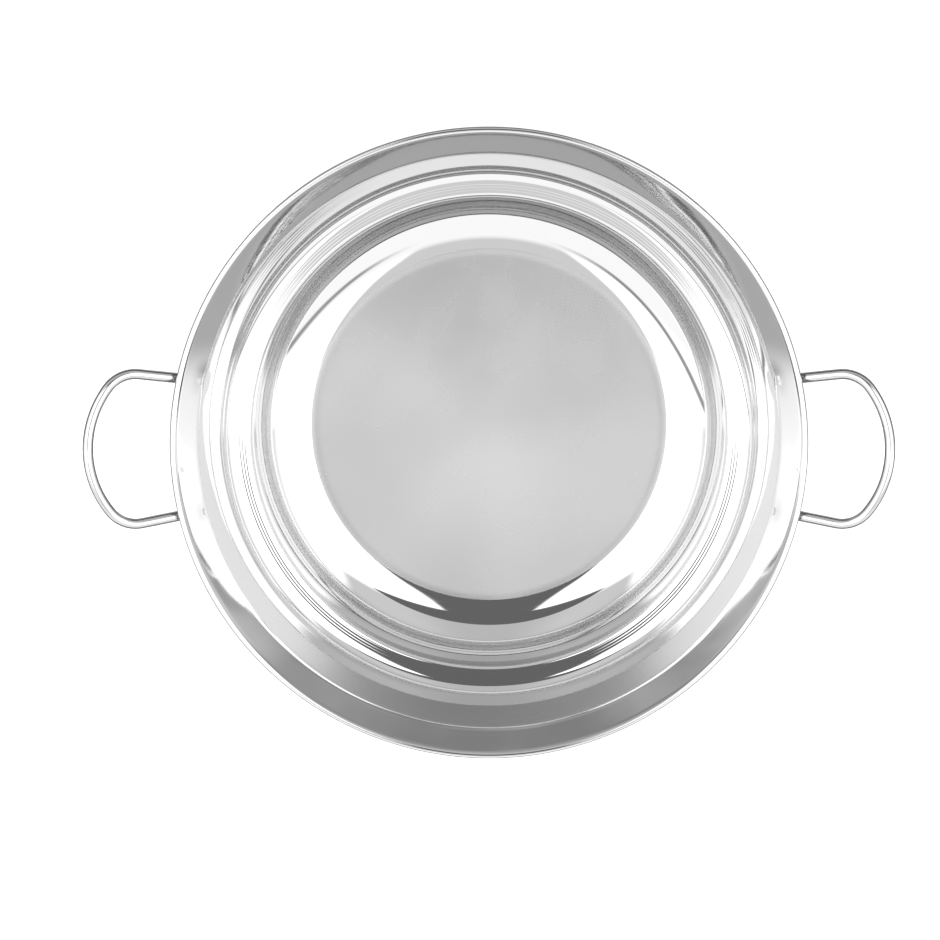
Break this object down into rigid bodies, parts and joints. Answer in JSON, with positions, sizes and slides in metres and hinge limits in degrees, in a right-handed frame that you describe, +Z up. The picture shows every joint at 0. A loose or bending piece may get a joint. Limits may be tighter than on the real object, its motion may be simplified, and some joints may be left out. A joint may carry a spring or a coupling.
{
  "type": "soup kettle",
  "caption": "Open stainless soup kettle with a stepped flared wall, rolled rim, inner rack ledge, bonded flat base and fixed wire loop handles, for heating and serving soup.",
  "frame": {"origin": "centre of the base's underside, on the surface the kettle stands on", "axes": "+Z up along the bowl's axis, +X towards the right handle, +Y towards the rear, away from the user"},
  "size_m": [0.455, 0.36, 0.1146],
  "materials": {
    "polished_steel": "polished",
    "polished_wire": "polished",
    "brushed_base": "satin",
    "aluminium_core": "satin",
    "weld_metal": "satin"
  },
  "bodies": {
    "root": {"bowl_shell": "polished_steel", "core_disc": "aluminium_core", "base_cap": "brushed_base", "handle_left": "polished_wire", "handle_right": "polished_wire", "weld_left_front": "weld_metal", "weld_left_rear": "weld_metal", "weld_right_front": "weld_metal", "weld_right_rear": "weld_metal"}
  },
  "joints": []
}
